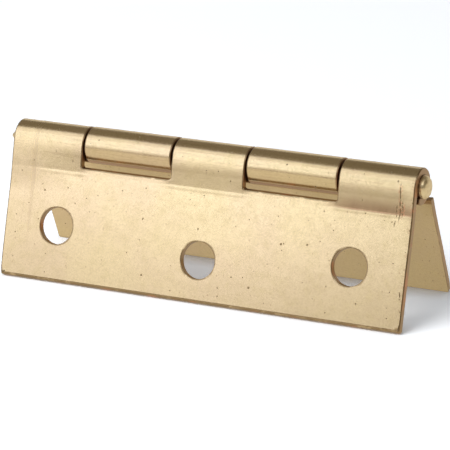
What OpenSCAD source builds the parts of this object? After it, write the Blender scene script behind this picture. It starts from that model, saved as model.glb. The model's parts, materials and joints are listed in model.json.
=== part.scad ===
// Pressed brass butt hinge with five knuckles, standing like a tent on the free edges of its leaves.
// X runs along the pin, the three-knuckle leaf leans towards -Y, +Z is up.
// The origin is on the ground, straight under the middle of the pin axis.

/* [Leaves] */
// Length of both leaves, along the pin
leaf_length = 75; // [60:0.5:120]
// Distance from the pin axis to a leaf's free edge
leaf_reach = 23.9; // [19:0.1:40]
// Thickness of the brass sheet
sheet_t = 1.15; // [0.9:0.05:1.5]
// How far a leaf's outer face is set in from the outside of its knuckles
swage = 0.45; // [0.2:0.05:0.7]
// Distance from the outside of the knuckles down to the crease where the flat leaf begins
crease_drop = 1.9; // [1.6:0.1:3]
// Corner radius at the two free corners of a leaf
corner_r = 0.6; // [0.2:0.1:2]
// Rounding that the shears leave on the outer side of the free edge
edge_round = 0.5; // [0.1:0.05:0.8]

/* [Knuckles] */
// Length of each knuckle on the three-knuckle leaf
knuckle_len = 13.6; // [10:0.1:17]
// Gap between neighbouring knuckles
knuckle_gap = 0.3; // [0.2:0.05:0.6]
// Angle of the curl's end past straight down, towards its own leaf
seam_angle = 16; // [0:1:24]
// Room between a knuckle and the notch in the three-knuckle leaf
notch_room_three = 1; // [0.6:0.05:2]
// Room between a knuckle and the notch in the two-knuckle leaf
notch_room_two = 1.35; // [0.6:0.05:2]
// Corner radius at the bottom of the notches
notch_r = 0.4; // [0.1:0.1:1]

/* [Pin] */
// Pin diameter, and the bore of the three knuckles that grip it
pin_d = 3.9; // [3:0.05:5]
// Radial clearance between the pin and the two knuckles that turn on it
turning_clearance = 0.06; // [0.03:0.01:0.1]
// Length of full pin that shows past each end of the knuckles
pin_proud = 0.4; // [0.2:0.1:1]
// Height of the dome on the pin's head end
dome_h = 0.8; // [0.4:0.1:1.5]
// Length of the tapered point on the pin's other end
point_len = 1.6; // [1:0.1:3]
// Diameter of the point's blunt tip
point_tip_d = 0.7; // [0.3:0.1:1.5]
// Chamfer at the mouth of the two outermost knuckles
mouth_chamfer = 0.15; // [0.05:0.05:0.3]

/* [Screw holes] */
// Diameter of the punched screw holes
hole_d = 6.25; // [4:0.05:7]
// Distance from a leaf's ends to the centres of its outer holes
hole_end_margin = 10.05; // [6:0.05:15]
// Distance from the free edge to the centres of the outer holes
outer_hole_margin = 9.5; // [6:0.1:12]
// Distance from the free edge to the centre of the middle hole
middle_hole_margin = 7.1; // [5:0.1:10]

/* [Stance] */
// Angle between the leaves as the hinge stands
open_angle = 40; // [20:1:90]

/* [Hidden] */
$fn = 96;

half_length = leaf_length / 2;
pin_r = pin_d / 2;
knuckle_r = pin_r + sheet_t;
turning_bore_r = pin_r + turning_clearance;
// Distance of a leaf's outer and inner faces from the pin axis
outer_plane = knuckle_r - swage;
inner_plane = outer_plane - sheet_t;
crease_reach = knuckle_r + crease_drop;
hole_pitch = half_length - hole_end_margin;
// X where the first knuckle of the three-knuckle leaf ends, and where its middle one does
end_knuckle_x = half_length - knuckle_len;
mid_knuckle_x = knuckle_len / 2;

// The swage leans in at this angle, between a wide bend under the knuckle and a tight one at the crease
lean = 9.5;
bend_r = 4;
crease_r = 0.8;
arc_steps = 6;
// Overshoot of the cutting tools
eps = 1;

half_angle = open_angle / 2;
axis_h = leaf_reach * cos(half_angle) - inner_plane * sin(half_angle);

brass = [0.90, 0.80, 0.58];
shaded_brass = [0.74, 0.64, 0.45];
pin_brass = [0.80, 0.71, 0.50];

// The sections are drawn with X as the distance out from the pin axis towards a leaf's outer side,
// and Y as the height above the pin axis. A heading of 0 runs straight down, a positive one leans in.
function outward(heading) = [cos(heading), -sin(heading)];
function arc(centre, radius, from, to) =
    [for (i = [0:arc_steps]) let (a = from + (to - from) * i / arc_steps) centre + radius * outward(a)];

// Length of the leaning stretch, and the distance below the axis at which the swage starts to bend
function lean_len(fall) = (fall - (bend_r + crease_r) * (1 - cos(lean))) / sin(lean);
function bend_reach(fall) = crease_reach - (bend_r + crease_r) * sin(lean) - lean_len(fall) * cos(lean);

// One side of the swage, offset inwards from the sheet's outer face by depth
function swage_side(curl_r, depth) =
    let (
        fall = curl_r - outer_plane,
        bend_centre = [curl_r - bend_r, -bend_reach(fall)],
        crease_centre = [outer_plane + crease_r, -crease_reach]
    )
    concat(
        [[curl_r - depth, 0]],
        arc(bend_centre, bend_r - depth, 0, lean),
        arc(crease_centre, -crease_r - depth, lean, 0)
    );

// The sheet from beside the pin down to the free edge
module strip_section(curl_r) {
    edge_centre = [outer_plane - edge_round, edge_round - leaf_reach];
    inner_side = swage_side(curl_r, sheet_t);
    // A tongue half the sheet's thickness roots the strip in the curl
    tongue = [curl_r - 0.25 * sheet_t, curl_r - 0.75 * sheet_t];
    polygon(concat(
        [[tongue[0], sheet_t], [tongue[0], 0]],
        swage_side(curl_r, 0),
        arc(edge_centre, edge_round, 0, 90),
        [[inner_plane, -leaf_reach]],
        [for (i = [len(inner_side) - 1:-1:0]) inner_side[i]],
        [[tongue[1], 0], [tongue[1], sheet_t]]
    ));
}

// The curl round the pin, open at the seam beside the strip
module curl_section(bore_r) {
    curl_r = bore_r + sheet_t;
    far = 2 * curl_r;
    difference() {
        circle(r = curl_r);
        circle(r = bore_r);
        polygon([[0, 0], [far, 0], [far, -far], far * outward(90 - seam_angle)]);
    }
}

// The sheet and the curl along the whole length, the leaf's outer side towards +Y
module full_sheet(bore_r) {
    translate([-half_length, 0, 0])
        rotate([90, 0, 90]) {
            linear_extrude(height = leaf_length) curl_section(bore_r);
            linear_extrude(height = leaf_length) strip_section(bore_r + sheet_t);
        }
}

// A straight cut down past the pin from above, reach below the axis, rounded at its bottom corners
module notch(from_x, to_x, reach) {
    width = to_x - from_x;
    depth = reach + knuckle_r + eps;
    thick = 2 * (knuckle_r + eps);
    translate([from_x, thick / 2, -reach])
        rotate([90, 0, 0])
            linear_extrude(height = thick) {
                translate([0, notch_r]) square([width, depth - notch_r]);
                translate([notch_r, 0]) square([width - 2 * notch_r, depth]);
                for (x = [notch_r, width - notch_r]) translate([x, notch_r]) circle(r = notch_r);
            }
}

// What is cut away outside the rounded free corner on one side
module free_corner(side) {
    rotate([90, 0, 0])
        linear_extrude(height = 2 * knuckle_r, center = true)
            difference() {
                translate([side * half_length, -leaf_reach]) square(2 * corner_r, center = true);
                translate([side * (half_length - corner_r), corner_r - leaf_reach]) circle(r = corner_r);
                translate([side * (half_length - 2 * corner_r), -leaf_reach]) square(2 * corner_r, center = true);
                translate([side * half_length, 2 * corner_r - leaf_reach]) square(2 * corner_r, center = true);
            }
}

module screw_hole(x, margin) {
    translate([x, outer_plane - sheet_t / 2, margin - leaf_reach])
        rotate([90, 0, 0])
            cylinder(h = sheet_t + 2 * eps, d = hole_d, center = true);
}

// The cuts that both leaves share
module leaf_cuts() {
    for (side = [-1, 1]) {
        free_corner(side);
        screw_hole(side * hole_pitch, outer_hole_margin);
    }
    screw_hole(0, middle_hole_margin);
}

// Turns a leaf that hangs straight down to where it stands, leaning to one side
module stand(side) {
    translate([0, 0, axis_h]) rotate([side * half_angle, 0, 0]) children();
}

module three_knuckle_leaf() {
    color(brass)
        stand(-1)
            mirror([0, 1, 0])
                difference() {
                    full_sheet(pin_r);
                    leaf_cuts();
                    for (side = [-1, 1]) {
                        near_x = side > 0 ? mid_knuckle_x : -end_knuckle_x;
                        far_x = side > 0 ? end_knuckle_x : -mid_knuckle_x;
                        notch(near_x, far_x, knuckle_r + notch_room_three);
                        // The chamfer round the pin's end
                        translate([side * half_length, 0, 0])
                            rotate([0, -90 * side, 0])
                                cylinder(h = mouth_chamfer, r1 = pin_r + mouth_chamfer, r2 = pin_r);
                    }
                }
}

module two_knuckle_leaf() {
    reach = knuckle_r + notch_room_two;
    color(shaded_brass)
        stand(1)
            difference() {
                full_sheet(turning_bore_r);
                leaf_cuts();
                notch(-half_length - eps, -end_knuckle_x + knuckle_gap, reach);
                notch(-mid_knuckle_x - knuckle_gap, mid_knuckle_x + knuckle_gap, reach);
                notch(end_knuckle_x - knuckle_gap, half_length + eps, reach);
            }
}

// The domed end is at +X and the tapered one at -X
module hinge_pin() {
    straight_half = half_length + pin_proud;
    dome_r = (pin_r * pin_r + dome_h * dome_h) / (2 * dome_h);
    color(pin_brass)
        translate([0, 0, axis_h])
            rotate([0, 90, 0])
                rotate_extrude() {
                    polygon([
                        [0, -straight_half - point_len],
                        [point_tip_d / 2, -straight_half - point_len],
                        [pin_r, -straight_half],
                        [pin_r, straight_half],
                        [0, straight_half]
                    ]);
                    intersection() {
                        translate([0, straight_half + dome_h - dome_r]) circle(r = dome_r);
                        translate([0, straight_half]) square([pin_r, dome_h]);
                    }
                }
}

three_knuckle_leaf();
two_knuckle_leaf();
hinge_pin();
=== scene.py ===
"""A pressed brass butt hinge, standing open like a tent on a pale studio floor.

Everything is in metres in the frame's own axes: the pin runs along X, Z is up, and the
free edges of both leaves stand on Z = 0. Sizes come from the frame where it holds them;
the others are named in millimetres beside the sub-part they belong to.
"""
import json
import logging
import math
from dataclasses import dataclass, field
from enum import Enum
from typing import Any

import bpy
import numpy as np
from mathutils import Matrix, Vector


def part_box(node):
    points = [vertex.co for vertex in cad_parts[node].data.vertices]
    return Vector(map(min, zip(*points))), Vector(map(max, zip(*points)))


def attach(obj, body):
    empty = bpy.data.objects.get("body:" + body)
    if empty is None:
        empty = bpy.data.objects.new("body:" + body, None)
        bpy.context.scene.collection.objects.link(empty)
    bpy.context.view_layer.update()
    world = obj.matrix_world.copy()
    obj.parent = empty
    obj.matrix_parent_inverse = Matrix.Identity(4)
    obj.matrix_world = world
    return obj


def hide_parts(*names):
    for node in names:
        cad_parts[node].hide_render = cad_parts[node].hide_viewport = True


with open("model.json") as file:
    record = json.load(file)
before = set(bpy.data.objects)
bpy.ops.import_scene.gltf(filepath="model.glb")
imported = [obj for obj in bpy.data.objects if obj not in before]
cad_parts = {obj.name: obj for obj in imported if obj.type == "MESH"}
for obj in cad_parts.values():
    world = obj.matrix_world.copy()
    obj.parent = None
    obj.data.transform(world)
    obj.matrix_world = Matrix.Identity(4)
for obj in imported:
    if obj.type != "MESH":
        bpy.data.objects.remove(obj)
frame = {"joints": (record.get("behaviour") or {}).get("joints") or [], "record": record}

LOG = logging.getLogger("butt_hinge")
MM = 0.001
TURN = 2 * math.pi
QUARTER = TURN / 4
TOUCH = 1e-6
Array = np.ndarray
Colour = tuple[float, float, float, float]
Tint = tuple[float, float, float]
Span = tuple[float, float]


# --------------------------------------------------------------------------- shared helpers


def smooth(value: Array, start: float, end: float) -> Array:
    """Smooth step: 0 before start, 1 after end, and 3t^2 - 2t^3 between them.

    Args:
        value: numbers to judge.
        start: where the step leaves 0.
        end: where it reaches 1.

    Returns:
        The step, the same shape as value.
    """
    t = np.clip((value - start) / (end - start), 0.0, 1.0)
    return t * t * (3 - 2 * t)


def spread(keys: list[float], step: float) -> Array:
    """Grid lines through every key, with even steps of about one size between them.

    Args:
        keys: places that must have a line.
        step: the spacing wanted between lines.

    Returns:
        The sorted lines, each once.
    """
    ends = np.unique(np.round(np.array(keys, float), 6))
    runs = [
        np.linspace(a, b, max(1, round((b - a) / step)), endpoint=False)
        for a, b in zip(ends[:-1], ends[1:])
    ]
    return np.concatenate([*runs, ends[-1:]])


def ripple(x: Array, s: Array, longest: float, seed: int) -> Array:
    """Gentle unevenness of rolled sheet: a scaled sum of twelve plane sine waves.

    Each wave is sin(k . (x, s) + phase), where the wave's length is between a quarter of
    longest and longest, and its direction and phase come from the seed. The sum is divided
    by the root of their number and by the height that such a sum seldom passes.

    Args:
        x: place along the pin.
        s: place along the sheet's section.
        longest: longest wave, in the same unit.
        seed: which set of waves.

    Returns:
        Heights between about -1 and 1.
    """
    dice = np.random.default_rng(seed)
    count, shortest, tallest = 12, 0.25, 1.5
    angle = dice.uniform(0, TURN, count)
    k = TURN / (longest * dice.uniform(shortest, 1.0, count))
    phase = dice.uniform(0, TURN, count)
    across = np.multiply.outer(x, k * np.cos(angle))
    along = np.multiply.outer(s, k * np.sin(angle))
    return np.sin(across + along + phase).sum(-1) / math.sqrt(count) / tallest


def mesh_piece(name: str, points: Array, faces: list[Array], body: str) -> bpy.types.Object:
    """Puts arrays into a smooth-shaded mesh object that rides on a body.

    Args:
        name: the piece's name.
        points: vertices, one row each, in metres.
        faces: face index arrays, each of rows of three or four.
        body: the CAD body that the piece rides on.

    Returns:
        The new object, at the origin.
    """
    mesh = bpy.data.meshes.new(name)
    rows = [row for group in faces for row in group.tolist()]
    mesh.from_pydata(points.tolist(), [], rows)
    mesh.polygons.foreach_set("use_smooth", np.ones(len(rows), bool))
    mesh.update()
    piece = bpy.data.objects.new(name, mesh)
    bpy.context.scene.collection.objects.link(piece)
    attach(piece, body)
    return piece


def point_attribute(piece: bpy.types.Object, name: str, values: Array) -> None:
    """Stores one number for each vertex under a name that the materials read."""
    layer = piece.data.attributes.new(name, "FLOAT", "POINT")
    layer.data.foreach_set("value", values.astype(np.float32))


def sheet_map(piece: bpy.types.Object, x: Array, s: Array) -> None:
    """Gives the mesh a UV map in metres, along the pin and along the section.

    Args:
        piece: the mesh object.
        x: each vertex's place along the pin.
        s: each vertex's place along the section.
    """
    corners = np.zeros(len(piece.data.loops), np.int32)
    piece.data.loops.foreach_get("vertex_index", corners)
    layer = piece.data.uv_layers.new(name="sheet")
    layer.data.foreach_set("uv", np.stack([x[corners], s[corners]], 1).astype(np.float32).ravel())


# --------------------------------------------------------------------------- shader helpers


class Value:
    """A shader socket that adds its own Math nodes when Python operators meet it."""

    def __init__(self, graph: "Graph", socket: bpy.types.NodeSocket) -> None:
        """Keeps the graph and the socket."""
        self.graph = graph
        self.socket = socket

    def __add__(self, other: Any) -> "Value":
        """self + other."""
        return self.graph.math("ADD", self, other)

    def __radd__(self, other: Any) -> "Value":
        """other + self."""
        return self.graph.math("ADD", other, self)

    def __sub__(self, other: Any) -> "Value":
        """self - other."""
        return self.graph.math("SUBTRACT", self, other)

    def __rsub__(self, other: Any) -> "Value":
        """other - self."""
        return self.graph.math("SUBTRACT", other, self)

    def __mul__(self, other: Any) -> "Value":
        """self * other."""
        return self.graph.math("MULTIPLY", self, other)

    def __rmul__(self, other: Any) -> "Value":
        """other * self."""
        return self.graph.math("MULTIPLY", other, self)

    def __truediv__(self, other: Any) -> "Value":
        """self / other."""
        return self.graph.math("DIVIDE", self, other)

    def __abs__(self) -> "Value":
        """Distance from 0."""
        return self.graph.math("ABSOLUTE", self)

    def most(self, other: Any) -> "Value":
        """The larger of self and other."""
        return self.graph.math("MAXIMUM", self, other)

    def least(self, other: Any) -> "Value":
        """The smaller of self and other."""
        return self.graph.math("MINIMUM", self, other)

    def between(self, low: float, high: float) -> "Value":
        """A smooth step.

        Args:
            low: where the step leaves 0.
            high: where it reaches 1.

        Returns:
            The step.
        """
        settings = {"interpolation_type": "SMOOTHSTEP"}
        inputs = {"Value": self, "From Min": low, "From Max": high}
        return self.graph.node("ShaderNodeMapRange", settings, inputs, "Result")

    def window(self, rise: Span, fall: Span) -> "Value":
        """1 between two smooth steps, of which the first rises and the second falls."""
        return self.between(*rise) * (1 - self.between(*fall))


class Graph:
    """The node tree of one material, world or light, built from Python expressions."""

    def __init__(self, tree: bpy.types.NodeTree) -> None:
        """Starts from an empty tree."""
        self.tree = tree
        tree.nodes.clear()

    def node(self, kind: str, settings: dict[str, Any], inputs: dict[Any, Any], output: Any = 0) -> Value:
        """Adds a node, with its settings made first and its sockets after them.

        Args:
            kind: the node's type.
            settings: the node's own properties.
            inputs: value or link for each socket, by identifier, name or number.
            output: the socket to give back, by identifier, name or number.

        Returns:
            The output socket, ready for expressions.
        """
        made = self.tree.nodes.new(kind)
        for key, value in settings.items():
            setattr(made, key, value)
        for key, value in inputs.items():
            socket = self._socket(made.inputs, key)
            if isinstance(value, Value):
                self.tree.links.new(value.socket, socket)
            else:
                socket.default_value = value
        if not made.outputs:
            return Value(self, made.inputs[0])
        return Value(self, self._socket(made.outputs, output))

    @staticmethod
    def _socket(sockets: Any, key: Any) -> bpy.types.NodeSocket:
        """Finds a socket.

        Args:
            sockets: a node's inputs or outputs.
            key: the socket's number, identifier or name.

        Returns:
            The socket.
        """
        if isinstance(key, int):
            return sockets[key]
        for socket in sockets:
            if socket.identifier == key:
                return socket
        return sockets[key]

    def math(self, operation: str, *values: Any) -> Value:
        """One Math node on up to three values."""
        return self.node("ShaderNodeMath", {"operation": operation}, dict(enumerate(values)))

    def mix(self, factor: Any, low: Any, high: Any) -> Value:
        """Colour between low, at factor 0, and high, at factor 1."""
        inputs = {"Factor_Float": factor, "A_Color": low, "B_Color": high}
        return self.node("ShaderNodeMix", {"data_type": "RGBA"}, inputs, "Result_Color")

    def noise(self, place: Value, size: float, detail: float = 3.0, rough: float = 0.5) -> Value:
        """Noise between 0 and 1.

        Args:
            place: coordinates in metres.
            size: about the size of its largest blotches, in millimetres.
            detail: octaves.
            rough: strength of each octave against the one before.

        Returns:
            The noise, which is 0.5 on average.
        """
        inputs = {"Vector": place, "Scale": 1 / (size * MM), "Detail": detail, "Roughness": rough}
        return self.node("ShaderNodeTexNoise", {}, inputs, "Fac")

    def stretched(self, place: Value, x: float, y: float, z: float) -> Value:
        """Coordinates scaled along each axis; under 1 draws a pattern out along that axis."""
        settings = {"operation": "MULTIPLY"}
        return self.node("ShaderNodeVectorMath", settings, {0: place, 1: (x, y, z)}, "Vector")

    def axis(self, place: Value, axis: str) -> Value:
        """One axis of coordinates in metres, turned into millimetres."""
        return self.node("ShaderNodeSeparateXYZ", {}, {0: place}, axis) / MM

    def bumped(self, height: Value, relief: float) -> Value:
        """The normal over a height map whose full scale is relief, in millimetres."""
        inputs = {"Strength": 1.0, "Distance": relief * MM, "Height": height}
        return self.node("ShaderNodeBump", {}, inputs, "Normal")

    def attribute(self, name: str) -> Value:
        """A number stored on the mesh."""
        return self.node("ShaderNodeAttribute", {"attribute_name": name}, {}, "Fac")

    def specks(self, place: Value, scatter: "Scatter") -> Value:
        """Small ragged marks scattered one to a cell, in a share of the cells.

        The mark is 1 where the distance to the cell's own point is under its radius, and
        the cell's random number picks the radius, from 0.4 of the largest up, or leaves
        the cell empty. Noise pushes the coordinates about, so the marks are ragged.

        Args:
            place: flat coordinates in metres.
            scatter: the marks' spacing, size and share.

        Returns:
            The mask.
        """
        least, faintest, edge, ragged = 0.4, 0.5, 0.3, 4.0
        cell, size, share = scatter.cell, scatter.size, scatter.share
        inputs = {"Vector": place, "Scale": ragged / (size * MM), "Detail": 2.0}
        rough = self.node("ShaderNodeTexNoise", {}, inputs, "Color")
        pushed = {0: rough, 1: (size * MM,) * 3, 2: place}
        bent = self.node("ShaderNodeVectorMath", {"operation": "MULTIPLY_ADD"}, pushed, "Vector")
        inputs = {"Vector": bent, "Scale": 1 / (cell * MM), "Randomness": 1.0}
        flat = {"voronoi_dimensions": "2D"}
        apart = self.node("ShaderNodeTexVoronoi", flat, inputs, "Distance")
        chance = self.node("ShaderNodeTexVoronoi", flat, inputs, "Color")
        pick = self.node("ShaderNodeSeparateColor", {}, {"Color": chance}, "Red")
        spare = (pick - (1 - share)) / share
        radius = (least + (1 - least) * spare) * (size / cell)
        held = self.math("GREATER_THAN", spare, 0.0) * (faintest + (1 - faintest) * spare)
        return held * ((radius - apart) * (cell / size)).between(0.0, edge)


def new_material(name: str) -> tuple[bpy.types.Material, Graph]:
    """A node material with an empty tree.

    Args:
        name: the material's name.

    Returns:
        The material and its graph.
    """
    material = bpy.data.materials.new(name)
    material.use_nodes = True
    return material, Graph(material.node_tree)


def metal(graph: Graph, colour: Value, roughness: Value, normal: Value) -> None:
    """Ends a material's tree in a bare metal surface.

    Args:
        graph: the material's node tree.
        colour: its colour.
        roughness: its roughness.
        normal: its bumped normal.
    """
    inputs = {"Base Color": colour, "Metallic": 1.0, "Roughness": roughness, "Normal": normal}
    surface = graph.node("ShaderNodeBsdfPrincipled", {}, inputs, "BSDF")
    graph.node("ShaderNodeOutputMaterial", {}, {"Surface": surface})


# --------------------------------------------------------------------------- finishes


@dataclass(frozen=True)
class Drag:
    """A scratch along the section: its place, its two ends, its width, its face and its blush."""

    at: float
    low: float
    high: float
    wide: float
    inner: bool = False
    blush: float = 0.0


@dataclass(frozen=True)
class Scatter:
    """Scattered marks: the cells' spacing, the largest radius, and the share of cells that hold one."""

    cell: float
    size: float
    share: float


@dataclass
class SheetMaps:
    """What the sheet's finish reads: places on it, its edge marks and its noises."""

    place: Value
    sheet: Value
    x: Value
    s: Value
    rim: Value
    inner: Value
    outer: Value
    cloud: Value
    mottle: Value
    grain: Value
    rolled: Value
    drawn: Value


@dataclass(frozen=True)
class SheetBrass:
    """Lacquered brass sheet, with die marks, pits and darker sheared edges, and with painted shade and a
    painted reflection laid into its colour.

    Places are in millimetres: x along the pin from the hinge's middle, and s along the
    section from the free edge. A span is where a mark comes up or dies away.
    """

    gold: Colour = (0.800, 0.652, 0.384, 1.0)
    olive: Colour = (0.690, 0.560, 0.290, 1.0)
    rose: Colour = (0.790, 0.630, 0.400, 1.0)
    # Painted shade: a darker brass laid towards the bottom and the right end of the faces, and as a
    # painted reflection on the free edge's rounding.
    shaded_brass: Colour = (0.610, 0.492, 0.285, 1.0)
    sheared: Colour = (0.440, 0.315, 0.185, 1.0)
    tarnish: Colour = (0.230, 0.150, 0.070, 1.0)
    copper: Colour = (0.760, 0.330, 0.180, 1.0)
    umber: Colour = (0.430, 0.280, 0.160, 1.0)
    # Painted shade: a deep brown laid in the crease along the curl's seam and on the knuckles' ends in
    # the gaps between them.
    painted_shade: Colour = (0.360, 0.190, 0.100, 1.0)
    roughness: float = 0.24
    relief: float = 0.010
    small_pits: Scatter = Scatter(2.2, 0.14, 0.30)
    large_pits: Scatter = Scatter(5.0, 0.22, 0.35)
    flecks: Scatter = Scatter(1.3, 0.12, 0.22)
    # Where the painted shade comes in towards the free edge and towards the right end.
    shade_below: Span = (-4.0, 14.0)
    shade_right: Span = (-6.0, 46.0)
    # Where the painted shade on the pressed band lies: along the section, and rising towards the right
    # end.
    press_low: Span = (18.65, 18.95)
    press_high: Span = (18.8, 22.0)
    press_right: Span = (20.0, 27.0)
    knuckles: Span = (20.0, 23.0)
    die_left: Span = (-36.0, -34.6)
    die_right: Span = (-31.6, -30.4)
    die_low: Span = (3.0, 9.0)
    # Where the painted shade in the gaps between knuckles and along the seam lies.
    curled_from: Span = (20.6, 21.4)
    leaf_ends: Span = (37.2, 37.6)
    seam_low: Span = (34.5, 34.8)
    seam_high: Span = (35.4, 36.2)
    burr_at: float = 0.42
    burr_wide: Span = (0.02, 0.16)
    free_edge: Span = (0.30, 0.50)
    worn_end: Span = (36.5, 37.3)
    rubbed: tuple[float, float] = (37.3, 19.9)
    drags: tuple[Drag, ...] = (
        Drag(35.05, 17.2, 24.6, 0.15, blush=0.5),
        Drag(34.50, 16.6, 20.8, 0.14),
        Drag(35.50, 18.4, 21.4, 0.17, blush=0.7),
        Drag(36.85, 5.2, 6.8, 0.17),
        Drag(-22.55, 16.4, 18.9, 0.06, inner=True),
    )

    def material(self, name: str) -> bpy.types.Material:
        """The finish as a material that reads the sheet's own map and edge marks.

        Args:
            name: the material's name.

        Returns:
            The material.
        """
        material, graph = new_material(name)
        maps = self._maps(graph)
        sheet, mottle, grain, rolled = maps.sheet, maps.mottle, maps.grain, maps.rolled
        pits = graph.specks(sheet, self.small_pits).most(graph.specks(sheet, self.large_pits))
        flecks = graph.specks(graph.stretched(sheet, 1.0, 0.6, 1.0), self.flecks)
        dies = graph.noise(graph.stretched(sheet, 1.0, 0.012, 1.0), 0.9, 2.0).between(0.54, 0.66)
        streaks = maps.x.window(self.die_left, self.die_right) * maps.s.between(*self.die_low) * dies
        scratch, blush = self._dragged(graph, maps)

        colour = graph.mix(maps.cloud.between(0.35, 0.65), self.gold, self.rose)
        layers = self._patina(maps)
        layers += [(streaks * 0.11, self.umber)]
        layers += self._edges(graph, maps)
        layers += [
            (blush * grain.between(0.46, 0.58) * 0.55, self.copper),
            (self._worn(graph, maps) * 0.5, self.umber),
            (flecks * 0.5, self.umber),
            ((pits * 0.66 + scratch * 0.9).least(1.0), self.tarnish),
        ]
        for cover, tint in layers:
            colour = graph.mix(cover, colour, tint)

        roughness = self.roughness + 0.10 * (mottle - 0.5) + 0.08 * (grain - 0.5)
        roughness = roughness + 0.16 * maps.rim + 0.25 * pits + 0.20 * scratch + 0.05 * streaks
        height = 0.50 * mottle + 0.24 * grain + 0.18 * rolled + 0.04 * streaks
        height = height - 1.2 * pits - 1.5 * scratch + 0.8 * maps.rim * rolled
        metal(graph, colour, roughness, graph.bumped(height, self.relief))
        return material

    @staticmethod
    def _maps(graph: Graph) -> SheetMaps:
        """Sets up the places, marks and noises, from broad clouds down to brushed lines.

        Args:
            graph: the material's node tree.

        Returns:
            The maps.
        """
        place = graph.node("ShaderNodeTexCoord", {}, {}, "Object")
        sheet = graph.node("ShaderNodeUVMap", {"uv_map": "sheet"}, {}, "UV")
        inner = graph.attribute("inner")
        return SheetMaps(
            place=place,
            sheet=sheet,
            x=graph.axis(sheet, "X"),
            s=graph.axis(sheet, "Y"),
            rim=graph.attribute("rim"),
            inner=inner,
            outer=1 - inner,
            cloud=graph.noise(place, 14.0, 2.0),
            mottle=graph.noise(place, 1.6, 4.0, 0.6),
            grain=graph.noise(place, 0.35, 3.0, 0.6),
            rolled=graph.noise(graph.stretched(sheet, 0.05, 1.0, 1.0), 0.35, 3.0, 0.6),
            drawn=graph.noise(graph.stretched(sheet, 1.0, 0.04, 1.0), 0.5, 3.0, 0.6),
        )

    def _patina(self, maps: SheetMaps) -> list[tuple[Value, Colour]]:
        """The faces' colours: painted shade darker towards the bottom and the right end with random tone
        in it, mottling, grain, rolling lines, and painted shade on the right knuckles' pressed band.

        Args:
            maps: the sheet's maps.

        Returns:
            Each layer's cover and colour, the lowest first.
        """
        x, s = maps.x, maps.s
        # Painted shade, darker towards the free edge and the right end, broken up by random tone.
        shade_and_tone = 0.34 * (1 - s.between(*self.shade_below)) + 0.68 * x.between(*self.shade_right)
        shade_and_tone = shade_and_tone + 0.5 * (maps.cloud - 0.5)
        # Painted shade on the pressed band under the right knuckles, streaked along the section.
        pressed = s.window(self.press_low, self.press_high) * x.between(*self.press_right)
        return [
            (shade_and_tone.between(0.0, 1.0) * 0.85, self.shaded_brass),
            (maps.mottle.between(0.42, 0.74) * 0.30, self.olive),
            (maps.grain.between(0.42, 0.70) * 0.12, self.umber),
            (maps.rolled.between(0.50, 0.70) * s.between(*self.knuckles) * 0.17, self.umber),
            (pressed * (0.60 + 0.6 * maps.drawn).least(1.0), self.umber),
        ]

    def _edges(self, graph: Graph, maps: SheetMaps) -> list[tuple[Value, Colour]]:
        """The colours of the seam's painted shade, the free edge's painted reflection, the sheared rim
        and the painted shade in the gaps between knuckles.

        Args:
            graph: the material's node tree.
            maps: the sheet's maps.

        Returns:
            Each layer's cover and colour, the lowest first.
        """
        s, rim = maps.s, maps.rim
        burr = 1 - abs(s - self.burr_at - 0.5 * (maps.drawn - 0.5)).between(*self.burr_wide)
        line = rim.window((0.05, 0.30), (0.55, 0.90)) * maps.mottle.between(0.30, 0.50)
        stain = graph.noise(maps.place, 3.2, 3.0).between(0.53, 0.66) * rim.between(0.20, 0.6)
        gaps = s.between(*self.curled_from) * (1 - abs(maps.x).between(*self.leaf_ends))
        return [
            # Painted shade in the crease along the seam, on the outer face.
            (maps.outer * s.window(self.seam_low, self.seam_high) * 0.75, self.painted_shade),
            (burr * maps.outer * 0.55, self.umber),
            # Painted reflection of the floor: the free edge's rounding laid in the darker shaded brass.
            ((1 - s.between(*self.free_edge)) * 0.6, self.shaded_brass),
            (rim.between(0.05, 0.9), self.sheared),
            (line * 0.75, self.tarnish),
            (stain * 0.45, self.copper),
            # Painted shade on the knuckles' ends in the gaps between knuckles.
            (gaps * rim.between(0.35, 0.85) * 0.85, self.painted_shade),
        ]

    def _worn(self, graph: Graph, maps: SheetMaps) -> Value:
        """Broken wear along the outer face's right end."""
        broken = graph.noise(maps.sheet, 1.0, 3.0).between(0.48, 0.62)
        return maps.x.between(*self.worn_end) * broken * maps.outer

    def _dragged(self, graph: Graph, maps: SheetMaps) -> tuple[Value, Value]:
        """The scratches where the forming die dragged on the sheet, and the blush beside them.

        Each scratch is a thin wandering line along the section, broken up by noise. It
        fades in and out over three tenths of its length.

        Args:
            graph: the material's node tree.
            maps: the sheet's maps.

        Returns:
            The scratches' mask and the blush's mask.
        """
        wander = 0.7 * (graph.noise(maps.sheet, 3.0, 2.0) - 0.5)
        broken = graph.noise(maps.sheet, 0.7, 2.0).between(0.40, 0.54)
        scratch, blush = 0.0, 0.0
        for drag in self.drags:
            away = abs(maps.x - drag.at - wander)
            fade = 0.3 * (drag.high - drag.low)
            along = maps.s.window((drag.low, drag.low + fade), (drag.high - fade, drag.high))
            along = along * (maps.inner if drag.inner else maps.outer)
            scratch = scratch + (1 - away.between(0.3 * drag.wide, drag.wide)) * along * broken
            if drag.blush:
                blush = blush + (1 - away.between(0.2, 0.6)) * along * drag.blush
        spot_x, spot_s = (abs(v - at) for v, at in zip((maps.x, maps.s), self.rubbed))
        spot = (1 - spot_x.between(0.2, 0.6)) * (1 - spot_s.between(0.2, 0.7))
        return scratch.least(1.0), (blush + spot).least(1.0)


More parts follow.
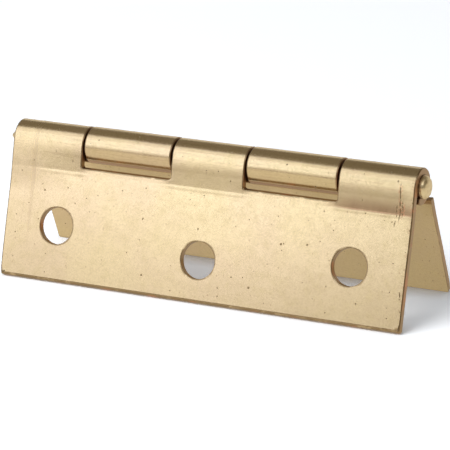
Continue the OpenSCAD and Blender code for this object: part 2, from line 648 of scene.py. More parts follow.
@dataclass(frozen=True)
class PinBrass:
    """Drawn brass wire with a peened end, and painted shade on the shank and in the neck under it."""

    gold: Colour = (0.880, 0.745, 0.465, 1.0)
    dull: Colour = (0.710, 0.560, 0.325, 1.0)
    # Painted shade laid on the shank inside the barrel and in the neck under the dome.
    painted_neck_shade: Colour = (0.120, 0.060, 0.030, 1.0)
    roughness: float = 0.34
    relief: float = 0.014
    # Where the painted shade fades out, under the dome.
    neck: Span = (37.54, 37.72)

    def material(self, name: str) -> bpy.types.Material:
        """The finish as a material with drawing lines along the wire, and painted shade on the shank up
        to the neck.

        Args:
            name: the material's name.

        Returns:
            The material.
        """
        material, graph = new_material(name)
        place = graph.node("ShaderNodeTexCoord", {}, {}, "Object")
        lines = graph.noise(graph.stretched(place, 0.06, 1.0, 1.0), 0.25, 3.0, 0.6)
        mottle = graph.noise(place, 0.9, 4.0, 0.6)
        marks = graph.noise(place, 0.5, 2.0).between(0.68, 0.74)
        colour = graph.mix(mottle.between(0.40, 0.70), self.gold, self.dull)
        colour = graph.mix(marks * 0.6, colour, self.dull)
        # Painted shade: the shank is laid in deep brown up to the neck under the dome.
        covered = 1 - abs(graph.axis(place, "X")).between(*self.neck)
        colour = graph.mix(covered, colour, self.painted_neck_shade)
        roughness = self.roughness + 0.12 * (mottle - 0.5) + 0.2 * marks
        height = 0.6 * mottle + 0.4 * lines - 0.8 * marks
        metal(graph, colour, roughness, graph.bumped(height, self.relief))
        return material


# --------------------------------------------------------------------------- the leaf


class Side(Enum):
    """Which way a leaf leans from the pin: the sign of its outer side's Y."""

    FRONT = -1
    REAR = 1


@dataclass
class Section:
    """The leaf's outer line, from the free edge up, over the pin and round to its end.

    The line is straight pieces and arcs joined end to end. Coordinates are (u, h): u is
    the distance from the pin's axis towards the leaf's outer side, and h is the height
    above the axis, both in millimetres, before the leaf is leaned.
    """

    reach: float
    curl_r: float
    sheet: float
    crease_drop: float = 1.9
    lean: float = math.radians(9.5)
    crease_r: float = 0.8
    bend_r: float = 4.0
    curl_turn: float = math.radians(286.0)
    plane: float = 0.0
    press_knots: tuple[float, ...] = (0.0, 0.10, 0.32, 0.39, 0.43, 0.47, 0.51, 0.985, 1.0)
    press_slopes: tuple[float, ...] = (0.0, 0.0, 1.0, 1.0, 1.25, 1.25, 1.0, 1.0, 0.0)
    starts: Array = field(default_factory=lambda: np.zeros(0))
    bends: Array = field(default_factory=lambda: np.zeros(0))

    def __post_init__(self) -> None:
        """Lays the pieces end to end, so that the lean brings the flat in by the swage."""
        crease_h = self.curl_r + self.crease_drop
        both = self.bend_r + self.crease_r
        fall = self.curl_r - self.plane
        lean_len = (fall - both * (1 - math.cos(self.lean))) / math.sin(self.lean)
        upright = crease_h - both * math.sin(self.lean) - lean_len * math.cos(self.lean)
        lengths = [
            self.reach - crease_h,
            self.crease_r * self.lean,
            lean_len,
            self.bend_r * self.lean,
            upright,
            self.curl_r * self.curl_turn,
        ]
        self.bends = np.array([0, -1 / self.crease_r, 0, 1 / self.bend_r, 0, 1 / self.curl_r])
        self.starts = np.concatenate([[0.0], np.cumsum(lengths)])
        place = np.array([self.plane, -self.reach])
        heading = QUARTER
        rows = []
        for length, bend in zip(lengths, self.bends):
            rows.append([*place, heading])
            place = place + self._step(np.array(length), np.array(bend), np.array(heading))
            heading += length * bend
        self._rows = np.array(rows)

    @staticmethod
    def _step(t: Array, bend: Array, heading: Array) -> Array:
        """Travel along a piece of constant bend.

        A straight piece goes t along its heading. An arc of curvature k goes
        (sin(a + kt) - sin a) / k along u and (cos a - cos(a + kt)) / k along h.

        Args:
            t: distance along the piece.
            bend: its curvature.
            heading: its heading where it starts.

        Returns:
            The travel, as rows of (u, h).
        """
        straight = bend == 0
        safe = np.where(straight, 1.0, bend)
        turned = heading + safe * t
        across = np.sin(turned) - np.sin(heading)
        along = np.cos(heading) - np.cos(turned)
        arc = np.stack([across, along], -1) / safe[..., None]
        line = np.stack([t * np.cos(heading), t * np.sin(heading)], -1)
        return np.where(straight[..., None], line, arc)

    @property
    def length(self) -> float:
        """Length of the whole outer line."""
        return float(self.starts[-1])

    @property
    def curl_start(self) -> float:
        """Where the line reaches the pin's level and starts to curl."""
        return float(self.starts[-2])

    def pressed(self, drop: Array) -> Array:
        """The pressed line between curl and crease, as u for each drop below the axis.

        The slope is worked out between a few knots: none at the pin's level, then steady
        down to the crease but for a slight fold on the way. Its running sum is scaled so
        that it ends on the flat's plane.

        Args:
            drop: distance below the pin's axis.

        Returns:
            Distance out from the axis.
        """
        crease = self.curl_r + self.crease_drop
        fine = np.linspace(0.0, crease, 400)
        slope = np.interp(fine / crease, self.press_knots, self.press_slopes)
        total = np.concatenate([[0.0], np.cumsum((slope[1:] + slope[:-1]) / 2)])
        return self.curl_r - (self.curl_r - self.plane) * np.interp(drop, fine, total / total[-1])

    def at_drop(self, drop: float) -> float:
        """Where the line below the curl reaches a given level.

        Args:
            drop: distance below the pin's axis.

        Returns:
            Place along the line.
        """
        s = np.linspace(0.0, self.curl_start, 4001)
        return float(np.interp(-drop, self.line(s)[0][:, 1], s))

    def line(self, s: Array) -> tuple[Array, Array]:
        """The outer line and its outward normal.

        Args:
            s: distance along the line from the free edge.

        Returns:
            The points (u, h) and the unit normals, which point out of the outer face.
        """
        index = np.clip(np.searchsorted(self.starts, s, side="right") - 1, 0, len(self.bends) - 1)
        t = s - self.starts[index]
        bend = self.bends[index]
        heading = self._rows[index, 2]
        points = self._rows[index, :2] + self._step(t, bend, heading)
        turned = heading + bend * t
        return points, np.stack([np.sin(turned), -np.cos(turned)], -1)


@dataclass
class Corner:
    """A right-angled corner of the blank, and the radius that rounds it."""

    at: tuple[float, float]
    along: tuple[float, float]
    up: tuple[float, float]
    radius: float

    def ease(self, points: Array) -> Array:
        """Moves the edge points near the corner on to the arc that is tangent to both edges.

        The arc's centre is at + r (along + up). A point at distance f r from the corner
        goes to the arc at 45 (1 - f) degrees from its own edge's tangent point.

        Args:
            points: the blank's points.

        Returns:
            The points, with those near the corner moved.
        """
        at, along, up = (np.array(v, float) for v in (self.at, self.along, self.up))
        centre = at + self.radius * (along + up)
        away = points - at
        for mine, other in ((along, up), (up, along)):
            far = away @ mine
            on = (np.abs(away @ other) < TOUCH) & (far > -TOUCH) & (far < self.radius)
            angle = (QUARTER / 2 * (1 - far / self.radius))[:, None]
            arc = centre - self.radius * (np.cos(angle) * other + np.sin(angle) * mine)
            points = np.where(on[:, None], arc, points)
        return points


@dataclass
class Blank:
    """The leaf before it is bent: a flat sheet of quads in (x, s), with notches and holes."""

    half: float
    top: float
    knuckles: list[tuple[float, float]]
    notch: float
    holes: list[tuple[float, float]]
    hole_r: float
    free_corner: float = 0.35
    notch_corner: float = 0.4
    end_corner: float = 0.2
    step: float = 0.61
    patch: float = 4.6
    rings: int = 6
    ring_crowd: float = 0.8
    points: Array = field(default_factory=lambda: np.zeros((0, 2)))
    quads: Array = field(default_factory=lambda: np.zeros((0, 4), int))

    def corners(self) -> list[Corner]:
        """Lists the corners: two at the free edge, two on each knuckle's end, and the notches'.

        Returns:
            Every corner of the outline, with its two edge directions.
        """
        up, down = (0.0, 1.0), (0.0, -1.0)
        sides = (-1.0, 1.0)
        found = [Corner((e * self.half, 0.0), (-e, 0.0), up, self.free_corner) for e in sides]
        for ends in self.knuckles:
            for place, inward in zip(ends, (1.0, -1.0)):
                found.append(Corner((place, self.top), (inward, 0.0), down, self.end_corner))
                if abs(place) < self.half - TOUCH:
                    found.append(Corner((place, self.notch), (-inward, 0.0), up, self.notch_corner))
        if self.knuckles[0][0] > -self.half + TOUCH:
            for e in sides:
                found.append(Corner((e * self.half, self.notch), (-e, 0.0), down, self.end_corner))
        return found

    def build(self, lines: list[float]) -> None:
        """Makes the grid, cuts it, and sets a ring of quads round each hole.

        Args:
            lines: extra places along the section that need a grid line.
        """
        corners = self.corners()
        shares = (0.0, 0.25, 0.5, 0.75, 1.0)
        x_keys = [-self.half, self.half]
        s_keys = [0.0, self.top, self.notch, *lines]
        for corner in corners:
            x_keys += [corner.at[0] + f * corner.radius * corner.along[0] for f in shares]
            s_keys += [corner.at[1] + f * corner.radius * corner.up[1] for f in shares]
        for x, s in self.holes:
            x_keys += [x - self.patch, x + self.patch]
            s_keys += [s - self.patch, s + self.patch]
        xs, ss = spread(x_keys, self.step), spread(s_keys, self.step)
        rows = len(ss)
        gx, gs = np.meshgrid(xs, ss, indexing="ij")
        points = np.stack([gx.ravel(), gs.ravel()], 1)
        i, j = np.meshgrid(np.arange(len(xs) - 1), np.arange(rows - 1), indexing="ij")
        first = (i * rows + j).ravel()
        quads = np.stack([first, first + rows, first + rows + 1, first + 1], 1)
        middle = points[quads].mean(1)
        keep = middle[:, 1] < self.notch
        for low, high in self.knuckles:
            keep |= (middle[:, 0] > low) & (middle[:, 0] < high)
        for x, s in self.holes:
            keep &= np.abs(middle - (x, s)).max(1) > self.patch
        quads = quads[keep]
        for x, s in self.holes:
            points, ring = self._ring(points, xs, ss, x, s)
            quads = np.concatenate([quads, ring])
        for corner in corners:
            points = corner.ease(points)
        used, back = np.unique(quads, return_inverse=True)
        self.points = points[used]
        self.quads = back.reshape(quads.shape)

    def _ring(self, points: Array, xs: Array, ss: Array, x: float, s: float) -> tuple[Array, Array]:
        """Quads between a square of grid points and the hole's circle.

        Going inward, a point moves straight from its place on the square to the place on
        the circle that is the same share of the way round.

        Args:
            points: the points so far.
            xs: the grid's lines along the pin.
            ss: the grid's lines along the section.
            x: the hole's centre along the pin.
            s: the hole's centre along the section.

        Returns:
            The points with the new ones added, and the ring's quads.
        """
        a, b = (np.argmin(np.abs(xs - x - e * self.patch)) for e in (-1, 1))
        c, d = (np.argmin(np.abs(ss - s - e * self.patch)) for e in (-1, 1))
        rows = len(ss)
        wide, tall = np.arange(a, b), np.arange(c, d)
        low, right = wide * rows + c, b * rows + tall
        high, left = wide[::-1] * rows + rows + d, a * rows + tall[::-1] + 1
        sides = [low, right, high, left]
        outer = np.concatenate(sides)
        share = np.concatenate([k + np.arange(len(side)) / len(side) for k, side in enumerate(sides)])
        angle = QUARTER * (share - 1.5)
        circle = np.array([x, s]) + self.hole_r * np.stack([np.cos(angle), np.sin(angle)], 1)
        loops = [outer]
        for k in range(1, self.rings + 1):
            part = (k / self.rings) ** self.ring_crowd
            loops.append(len(points) + np.arange(len(outer)))
            points = np.concatenate([points, points[outer] * (1 - part) + circle * part])
        quads = [
            np.stack([one, np.roll(one, -1), np.roll(two, -1), two], 1)
            for one, two in zip(loops[:-1], loops[1:])
        ]
        return points, np.concatenate(quads)

    def border(self) -> tuple[Array, Array, Array]:
        """The outline's own edges.

        Returns:
            The directed edges with the sheet on their left, the points on them, and each
            such point's unit normal into the sheet.
        """
        edges = np.concatenate([self.quads[:, [k, (k + 1) % 4]] for k in range(4)])
        key = np.sort(edges, 1)
        _, index, count = np.unique(key, axis=0, return_index=True, return_counts=True)
        edges = edges[index[count == 1]]
        run = self.points[edges[:, 1]] - self.points[edges[:, 0]]
        run /= np.linalg.norm(run, axis=1)[:, None]
        inward = np.stack([-run[:, 1], run[:, 0]], 1)
        total = np.zeros_like(self.points)
        np.add.at(total, edges[:, 0], inward)
        np.add.at(total, edges[:, 1], inward)
        members = np.unique(edges)
        normals = total[members]
        return edges, members, normals / np.linalg.norm(normals, axis=1)[:, None]


@dataclass
class Leaf:
    """One leaf: a sheared blank, pressed, leaned and curled round the pin."""

    node: str
    body: str
    side: Side
    section: Section
    blank: Blank
    axis_h: float
    half_angle: float
    seed: int
    pressed_lines: Span = (0.25, 6.6)
    curl_step: float = math.radians(5.0)
    free_round: float = 0.5
    edge_round: float = 0.22
    hole_round: float = 0.12
    burr_round: float = 0.10
    free_zone: Span = (0.3, 1.6)
    torn: float = 0.02
    torn_at: Span = (0.45, 0.75)
    fade_low: Span = (24.5, 36.5)
    fade_high: Span = (34.5, 38.5)
    end_slope: Span = (0.6, 9.0)
    root_edge: Span = (0.2, 1.4)
    crowd: float = 1.3
    bow: float = 0.10
    lip_high: float = 0.045
    lip_drop: float = 0.16
    lip_wide: float = 0.17
    waviness: float = 0.006
    rim_stain: float = 0.34
    normal_weight: int = 60

    def build(self) -> bpy.types.Object:
        """Meshes the leaf as one closed shell and dresses it.

        Returns:
            The leaf's object.
        """
        section, blank = self.section, self.blank
        lines = [float(v) for v in section.starts[1:-1]]
        step, lowest = self.pressed_lines
        lines += [section.at_drop(drop) for drop in np.arange(step, lowest, step)]
        curl_lines = round(section.curl_turn / self.curl_step) + 1
        curl = np.linspace(section.curl_start, section.length, curl_lines)
        blank.build(lines + [float(v) for v in curl])
        edges, members, inward = blank.border()
        rings = self._rings(blank.points[members])
        count, ring = len(blank.points), len(members)
        plan = [self._drawn_in(members, inward, rings[k][0]) for k in (0, -1)]
        plan += [blank.points[members] + inward * inset[:, None] for inset, _, _ in rings[1:-1]]
        deep = [np.zeros(count), np.full(count, section.sheet)] + [depth for _, depth, _ in rings[1:-1]]
        faces = np.zeros(2 * count)
        faces[members] = self.rim_stain
        marks = [faces] + [np.full(ring, mark) for _, _, mark in rings[1:-1]]
        where, depth = np.concatenate(plan), np.concatenate(deep)
        points = self._bend(where[:, 0], where[:, 1], depth)
        quads = self._wall(edges, members, count, len(rings))
        piece = mesh_piece(self.node + "_formed", points * MM, [quads], self.body)
        point_attribute(piece, "rim", np.concatenate(marks))
        point_attribute(piece, "inner", smooth(depth, 0.0, section.sheet))
        sheet_map(piece, where[:, 0] * MM, where[:, 1] * MM)
        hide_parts(self.node)
        piece.modifiers.new("true_normals", "WEIGHTED_NORMAL").weight = self.normal_weight
        LOG.info("%s: %d quads, %d on its rim", piece.name, len(quads), len(edges) * (len(rings) - 1))
        return piece

    def _drawn_in(self, members: Array, inward: Array, inset: Array) -> Array:
        """The blank's points with the border moved in, and those near it crowded up.

        A point d from the border, measured along the nearest border point's normal,
        moves inset (1 - d / reach) along that normal, while d is under the reach.

        Args:
            members: the border's points.
            inward: their unit normals into the sheet.
            inset: how far each of them moves.

        Returns:
            The moved points.
        """
        points = self.blank.points
        border = points[members]
        square = (points**2).sum(1)[:, None] + (border**2).sum(1)[None] - 2 * points @ border.T
        near = square.argmin(1)
        away = np.abs(((points - border[near]) * inward[near]).sum(1))
        share = np.clip(1 - away / self.crowd, 0.0, 1.0) * (square.min(1) < self.crowd**2)
        return points + inward[near] * (inset[near] * share)[:, None]

    def _rings(self, border: Array) -> list[tuple[Array, Array, float]]:
        """The rim's rings, from the outer face's border to the inner face's.

        The outer rounding is a quarter circle: inset r (1 - sin a), depth r (1 - cos a).
        The wall is straight, with the torn band a little inside the burnished one, and
        the inner edge is a smaller quarter circle.

        Args:
            border: the border's points on the blank.

        Returns:
            For each ring its inset, its depth and its rim mark.
        """
        free = 1 - smooth(border[:, 1], *self.free_zone)
        r = self.edge_round + (self.free_round - self.edge_round) * free
        for place in self.blank.holes:
            away = np.linalg.norm(border - place, axis=1)
            r = np.where(away < self.blank.hole_r + TOUCH, self.hole_round, r)
        q = np.full(len(border), self.burr_round)
        t = self.section.sheet
        outer_arc, inner_arc = 7, 4
        rings = [
            (r * (1 - math.sin(QUARTER * k)), r * (1 - math.cos(QUARTER * k)), k)
            for k in np.linspace(0.0, 1.0, outer_arc)
        ]
        rings += [(np.full(len(border), self.torn), r + (t - q - r) * k, 1.0) for k in self.torn_at]
        rings += [
            (q * (1 - math.cos(QUARTER * k)), t - q + q * math.sin(QUARTER * k), 1.0 - k)
            for k in np.linspace(0.0, 1.0, inner_arc)
        ]
        return rings

    def _bend(self, x: Array, s: Array, depth: Array) -> Array:
        """Bends blank places into space.

        A point goes to the section's outer line at s, then depth along the inward
        normal, and shifts along u by what _ease gives. Last the leaf is leaned by half
        the opening angle about the pin.

        Args:
            x: place along the pin.
            s: place along the section.
            depth: distance under the outer face.

        Returns:
            The points in millimetres in the frame's axes.
        """
        line, normal = self.section.line(s)
        height = self.waviness * ripple(x, s, 9.0, self.seed)
        place = line + normal * (height - depth)[:, None]
        u, h = place[:, 0] + self._ease(x, s, line), place[:, 1]
        c, d = math.cos(self.half_angle), math.sin(self.half_angle)
        y = self.side.value * (u * c - h * d)
        return np.stack([x, y, self.axis_h + u * d + h * c], 1)

    def _ease(self, x: Array, s: Array, line: Array) -> Array:
        """How far the pressed sheet differs from the plain section, along u.

        Each knuckle's root follows the pressed line, with a low rounded lip thrown up
        under the crease. At the leaf's ends the press didn't reach, so there the line
        is a long easy slope, and beside a notch the flat runs up to its edge. The flat
        itself bows out by a parabola.

        Args:
            x: place along the pin.
            s: place along the section.
            line: the outer line's points there.

        Returns:
            Shift along u.
        """
        below = s < self.section.curl_start
        drop = -line[:, 1]
        curl_r, plane = self.section.curl_r, self.section.plane
        slope = curl_r - (curl_r - plane) * smooth(drop, *self.end_slope)
        pressed = self.section.pressed(drop)
        ends = smooth(-x, *self.fade_low) + smooth(x, *self.fade_high)
        off = np.min([np.maximum(low - x, x - high) for low, high in self.blank.knuckles], 0)
        beside = smooth(off, *self.root_edge)
        crest = (drop - curl_r - self.section.crease_drop - self.lip_drop) / self.lip_wide
        uneven = 1 + 0.4 * ripple(x, 0 * x, 5.0, 11)
        lip = self.lip_high * (1 - beside) * np.exp(-(crest**2)) * uneven
        formed = beside * plane + (1 - beside) * (pressed + lip)
        eased = ends * slope + (1 - ends) * formed - line[:, 0]
        along = np.clip(s / self.section.starts[1], 0.0, 1.0)
        bowed = 4 * self.bow * along * (1 - along)
        return np.where(below, eased + bowed, 0.0)

    def _wall(self, edges: Array, members: Array, count: int, rings: int) -> Array:
        """Joins outer face, rim and inner face into one closed set of quads.

        Args:
            edges: the border's directed edges.
            members: the border's points.
            count: points in each face.
            rings: rings in the rim, the two borders included.

        Returns:
            The quads, facing outwards.
        """
        spot = np.zeros(count, int)
        spot[members] = np.arange(len(members))
        a, b = spot[edges[:, 0]], spot[edges[:, 1]]

        def ring(k: int, i: Array) -> Array:
            """Finds points on a ring.

            Args:
                k: the ring's number.
                i: the points' places on the border.

            Returns:
                Their indices in the mesh.
            """
            if k == 0:
                return members[i]
            if k == rings - 1:
                return members[i] + count
            return 2 * count + (k - 1) * len(members) + i

        quads = [self.blank.quads, self.blank.quads[:, ::-1] + count]
        for k in range(rings - 1):
            quads.append(np.stack([ring(k, b), ring(k, a), ring(k + 1, a), ring(k + 1, b)], 1))
        joined = np.concatenate(quads)
        return joined if self.side is Side.FRONT else joined[:, ::-1]


# --------------------------------------------------------------------------- the pin


@dataclass
class Pin:
    """The hinge pin: a drawn wire with a peened dome at one end and a blunt point at the other."""

    axis_h: float
    radius: float
    low: float
    high: float
    dome: float = 1.16
    point: float = 1.6
    tip_r: float = 0.35
    tip_long: float = 0.12
    neck: float = 0.12
    swell: float = 0.65
    tuck: float = TURN / 20
    around: int = 96
    shank: float = 0.3
    hammering: float = 0.03
    groove: float = 0.10
    sag: float = 0.12

    def profile(self) -> Array:
        """The outline from the point's tip to the dome's pole.

        The point is a straight taper after a small arc. The dome stands on a narrow neck
        and swells above it: x rises with sin a and r with cos a to the power of swell,
        where a starts at minus tuck and ends at a quarter turn.

        Returns:
            Rows of (x, r), without the two poles.
        """
        t = np.linspace(0, 1, 9)
        nose_x = self.low + self.tip_long * (1 - np.cos(t * QUARTER))
        nose = np.stack([nose_x, self.tip_r * np.sin(t * QUARTER)], 1)[1:]
        cone_x = self.low + self.tip_long + (self.point - self.tip_long) * t
        cone = np.stack([cone_x, self.tip_r + (self.radius - self.tip_r) * t], 1)[1:-1]
        start = self.high - self.dome
        body_x = np.linspace(self.low + self.point, start, 160)
        body = np.stack([body_x, np.full(len(body_x), self.radius)], 1)
        waist = self.radius - self.groove * np.sin(np.linspace(0, QUARTER, 7)[1:]) ** 2
        neck = np.stack([np.linspace(start, start + self.neck, 7)[1:], waist], 1)
        a = np.linspace(-self.tuck, QUARTER, 34)[1:-1]
        rise = (np.sin(a) + math.sin(self.tuck)) / (1 + math.sin(self.tuck))
        cap_x = start + self.neck + (self.dome - self.neck) * rise
        cap = np.stack([cap_x, self.radius * np.cos(a) ** self.swell], 1)
        return np.concatenate([nose, cone, body, neck, cap])

    def build(self) -> bpy.types.Object:
        """Turns the profile about the pin's axis, with poles closed by one point each.

        The hammer has flattened the free ends a little, by a ripple on the radius, and
        pushed the dome down by sag.

        Returns:
            The pin's object.
        """
        rows = self.profile()
        angle = np.arange(self.around) / self.around * TURN
        x, r = rows[:, 0][:, None], rows[:, 1][:, None]
        free = smooth(np.abs(x), self.high - self.dome - self.shank, self.high)
        dents = ripple(r * np.cos(angle), r * np.sin(angle), 2.2, 5)
        beat = 1 - self.hammering * free * (1 + dents)
        sunk = self.axis_h - self.sag * smooth(x, self.high - self.dome, self.high - self.dome / 2)
        ring = np.stack([x + 0 * angle, r * beat * np.cos(angle), sunk + r * beat * np.sin(angle)], -1)
        poles = [[self.low, 0, self.axis_h], [self.high, 0, self.axis_h - self.sag]]
        points = np.concatenate([ring.reshape(-1, 3), poles])
        k, n = self.around, len(rows)
        here = np.arange(k)
        after = (here + 1) % k
        row = np.arange(n - 1)[:, None] * k
        quads = np.stack([row + after, row + k + after, row + k + here, row + here], -1).reshape(-1, 4)
        tip = np.stack([np.full(k, n * k), after, here], 1)
        pole = np.stack([np.full(k, n * k + 1), (n - 1) * k + here, (n - 1) * k + after], 1)
        piece = mesh_piece("hinge_pin_turned", points * MM, [quads, tip, pole], "fixed_leaf")
        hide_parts("hinge_pin")
        LOG.info("%s: %d quads round %d rings", piece.name, len(quads), n)
        return piece


# --------------------------------------------------------------------------- the hinge


@dataclass
class ButtHinge:
    """The whole hinge, with its sizes read from the frame."""

    knuckle: float = 13.6
    gap: float = 0.3
    room_three: float = 1.0
    room_two: float = 1.35
    clearance: float = 0.06
    seeds: tuple[int, int] = (3, 8)
    sheet_finish: SheetBrass = field(default_factory=SheetBrass)
    pin_finish: PinBrass = field(default_factory=PinBrass)

    def __post_init__(self) -> None:
        """Reads the overall sizes from the CAD nodes, the joint and the mounts."""
        mounts = {mount["name"]: mount for mount in frame["record"]["mounts"]}
        seat = mounts["three_knuckle_leaf_seat"]
        self.axis_h = frame["joints"][0]["pos_m"][2] / MM
        self.half_angle = math.asin(seat["axis"][2])
        self.pin_low, self.pin_high = (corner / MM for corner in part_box("hinge_pin"))
        self.leaf_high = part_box("three_knuckle_leaf")[1] / MM
        self.pin_r = self.pin_high.y
        hole = mounts["three_knuckle_leaf_screw_hole_middle"]["dims"]
        self.hole_r, self.sheet = hole["r_mm"], hole["length_mm"]
        self.plane = self._out_and_up(seat)[0]
        inner = self.plane - self.sheet
        self.reach = (self.axis_h + inner * math.sin(self.half_angle)) / math.cos(self.half_angle)
        self.places = [
            (mount["pos_m"][0] / MM, self.reach + self._out_and_up(mount)[1])
            for name, mount in mounts.items()
            if name.startswith("three_knuckle_leaf_screw_hole")
        ]

    def _out_and_up(self, mount: dict[str, Any]) -> tuple[float, float]:
        """Where a mount on the front leaf is, in the leaf's own axes.

        Args:
            mount: the mount's record.

        Returns:
            Its distance out from the pin's axis and its height above it.
        """
        y, z = mount["pos_m"][1] / MM, mount["pos_m"][2] / MM - self.axis_h
        c, d = math.cos(self.half_angle), math.sin(self.half_angle)
        return -y * c + z * d, y * d + z * c

    def leaf(self, side: Side) -> bpy.types.Object:
        """Builds one leaf.

        Args:
            side: which leaf.

        Returns:
            Its object.
        """
        front = side is Side.FRONT
        half = self.leaf_high.x
        curl_r = self.pin_r + self.sheet + (0.0 if front else self.clearance)
        section = Section(reach=self.reach, curl_r=curl_r, sheet=self.sheet, plane=self.plane)
        middle, end = self.knuckle / 2, half - self.knuckle
        if front:
            knuckles = [(-half, -end), (-middle, middle), (end, half)]
            room = self.room_three
        else:
            knuckles = [(-end + self.gap, -middle - self.gap), (middle + self.gap, end - self.gap)]
            room = self.room_two
        notch = section.at_drop(self.pin_r + self.sheet + room)
        blank = Blank(half, section.length, knuckles, notch, self.places, self.hole_r)
        node = "three_knuckle_leaf" if front else "two_knuckle_leaf"
        body = "fixed_leaf" if front else "swinging_leaf"
        seed = self.seeds[0 if front else 1]
        return Leaf(node, body, side, section, blank, self.axis_h, self.half_angle, seed).build()

    def build(self) -> None:
        """Makes the leaves and the pin and gives each its finish."""
        brass = self.sheet_finish.material("leaf_sheet_brass")
        for side in Side:
            self.leaf(side).data.materials.append(brass)
        pin = Pin(self.axis_h, self.pin_r, self.pin_low.x, self.pin_high.x).build()
        pin.data.materials.append(self.pin_finish.material("pin_wire_brass"))


# --------------------------------------------------------------------------- the studio


@dataclass(frozen=True)
class Softbox:
    """A rectangular soft light, aimed at the hinge.

    The brass shows it as a reflection where it is mirrored, and the floor is lit by it
    where it lights.
    """

    name: str
    centre: tuple[float, float, float]
    size: Span
    radiance: float
    colour: Tint
    mirrored: bool = True
    lights: bool = True

    def build(self) -> None:
        """Adds the light; its power is pi times its area times its radiance."""
        data = bpy.data.lights.new(self.name, "AREA")
        data.shape = "RECTANGLE"
        data.size, data.size_y = self.size
        data.energy = math.pi * self.size[0] * self.size[1] * self.radiance
        data.color = self.colour
        light = bpy.data.objects.new(self.name, data)
        bpy.context.scene.collection.objects.link(light)
        light.location = self.centre
        light.rotation_euler = (-Vector(self.centre)).to_track_quat("-Z", "Y").to_euler()
        light.visible_camera = False
        light.visible_glossy = self.mirrored
        light.visible_diffuse = self.lights


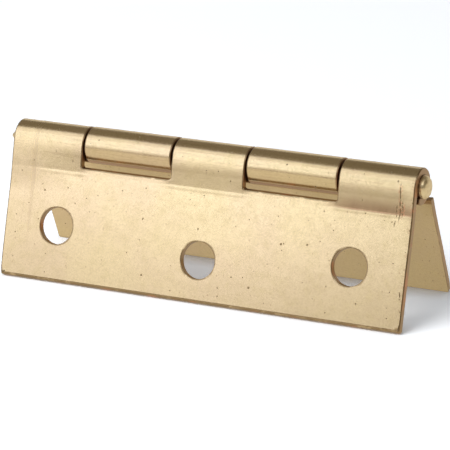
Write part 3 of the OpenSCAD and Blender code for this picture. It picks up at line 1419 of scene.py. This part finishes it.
@dataclass
class Studio:
    """The pale floor, the soft lights and the camera."""

    axis_h: float
    camera_turn: float = math.radians(28.02)
    camera_rise: float = math.radians(20.27)
    camera_roll: float = math.radians(-2.635)
    camera_distance: float = 0.5003
    lens: float = 238.4
    aim_x: float = 1.04
    aim_drop: float = 11.35
    floor_half: float = 4.0
    seen_paper: tuple[Tint, Tint] = ((0.94, 0.950, 0.96), (0.280, 0.325, 0.380))
    bounced_paper: tuple[Tint, Tint] = ((0.26, 0.24, 0.21), (0.55, 0.51, 0.45))
    contact: float = 4.0
    room: Colour = (0.21, 0.18, 0.14, 1.0)
    beyond: Colour = (1.0, 1.0, 1.0, 1.0)
    softboxes: tuple[Softbox, ...] = (
        Softbox("front_low", (-0.60, -0.69, 0.21), (0.85, 0.24), 0.86, (1.0, 1.0, 1.08)),
        Softbox("front_high", (-0.50, -0.49, 0.43), (0.85, 0.39), 1.16, (0.97, 1.02, 1.14)),
        Softbox("front_top", (-0.365, -0.325, 0.655), (0.6, 0.27), 0.95, (1.0, 1.01, 1.10)),
        Softbox("right_high", (0.42, -0.42, 0.72), (0.75, 0.45), 1.3, (1.0, 1.0, 1.05), lights=False),
        Softbox("back_panel", (-0.05, 0.80, 0.23), (1.5, 0.40), 0.54, (1.0, 0.98, 0.95), lights=False),
        Softbox("front_fill", (-0.30, -0.50, 0.75), (0.6, 0.6), 5.7, (1.0, 1.0, 1.0), mirrored=False),
    )

    def camera(self) -> None:
        """Places the camera, turned about the pin's middle, raised, and rolled a little."""
        a, e = self.camera_turn, self.camera_rise
        back = Vector((math.sin(a) * math.cos(e), -math.cos(a) * math.cos(e), math.sin(e)))
        right = Vector((math.cos(a), math.sin(a), 0.0))
        up = back.cross(right)
        c, d = math.cos(self.camera_roll), math.sin(self.camera_roll)
        across, above = right * c + up * d, up * c - right * d
        aim = Vector((self.aim_x * MM, 0.0, (self.axis_h - self.aim_drop) * MM))
        data = bpy.data.cameras.new("studio_camera")
        data.lens = self.lens
        data.clip_start, data.clip_end = 0.01, 20.0
        camera = bpy.data.objects.new("studio_camera", data)
        bpy.context.scene.collection.objects.link(camera)
        turn = Matrix((across, above, back)).transposed().to_4x4()
        camera.matrix_world = Matrix.Translation(aim + back * self.camera_distance) @ turn
        bpy.context.scene.camera = camera

    def floor(self) -> None:
        """Lays the plain pale floor, a wide sheet of paper.

        Direct views see a brighter paper than the brass mirrors. Its glow is shaded
        within the contact distance of whatever stands on it.
        """
        wide = self.floor_half
        corners = [(-wide, -wide, 0.0), (wide, -wide, 0.0), (wide, wide, 0.0), (-wide, wide, 0.0)]
        mesh = bpy.data.meshes.new("studio_floor")
        mesh.from_pydata(corners, [], [(0, 1, 2, 3)])
        floor = bpy.data.objects.new("studio_floor", mesh)
        bpy.context.scene.collection.objects.link(floor)
        material, graph = new_material("white_paper")
        near = {"Distance": self.contact * MM}
        open_sky = graph.node("ShaderNodeAmbientOcclusion", {"samples": 8}, near, "AO")
        seen = self._paper(graph, *self.seen_paper, open_sky)
        bounced = self._paper(graph, *self.bounced_paper, 1.0)
        direct = graph.node("ShaderNodeLightPath", {}, {}, "Is Camera Ray")
        surface = graph.node("ShaderNodeMixShader", {}, {0: direct, 1: bounced, 2: seen}, "Shader")
        graph.node("ShaderNodeOutputMaterial", {}, {"Surface": surface})
        mesh.materials.append(material)

    @staticmethod
    def _paper(graph: Graph, white: Tint, glow: Tint, share: Any) -> Value:
        """Paper on a light table: a matt surface that also passes some light from below.

        Args:
            graph: the floor's node tree.
            white: share of the light that it scatters.
            glow: radiance from below.
            share: how much of the glow gets out, less close to what stands on the paper.

        Returns:
            The shader.
        """
        matt = graph.node("ShaderNodeBsdfDiffuse", {}, {"Color": (*white, 1.0)}, "BSDF")
        light = {"Color": (*glow, 1.0), "Strength": share}
        lit = graph.node("ShaderNodeEmission", {}, light, "Emission")
        return graph.node("ShaderNodeAddShader", {}, {0: matt, 1: lit}, "Shader")

    def world(self) -> None:
        """A dim warm room round the lights, and white where the camera sees past the floor."""
        world = bpy.data.worlds.new("studio_room")
        world.use_nodes = True
        graph = Graph(world.node_tree)
        room = graph.node("ShaderNodeBackground", {}, {"Color": self.room}, "Background")
        white = graph.node("ShaderNodeBackground", {}, {"Color": self.beyond}, "Background")
        direct = graph.node("ShaderNodeLightPath", {}, {}, "Is Camera Ray")
        surface = graph.node("ShaderNodeMixShader", {}, {0: direct, 1: room, 2: white}, "Shader")
        graph.node("ShaderNodeOutputWorld", {}, {"Surface": surface})
        bpy.context.scene.world = world

    def build(self) -> None:
        """Sets the whole studio up."""
        self.camera()
        self.floor()
        self.world()
        for softbox in self.softboxes:
            softbox.build()
        bpy.context.scene.view_settings.view_transform = "Standard"


def main() -> None:
    logging.basicConfig(level=logging.INFO, format="%(name)s: %(message)s")
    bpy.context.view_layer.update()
    hinge = ButtHinge()
    hinge.build()
    Studio(hinge.axis_h).build()


if __name__ == "__main__":
    main()
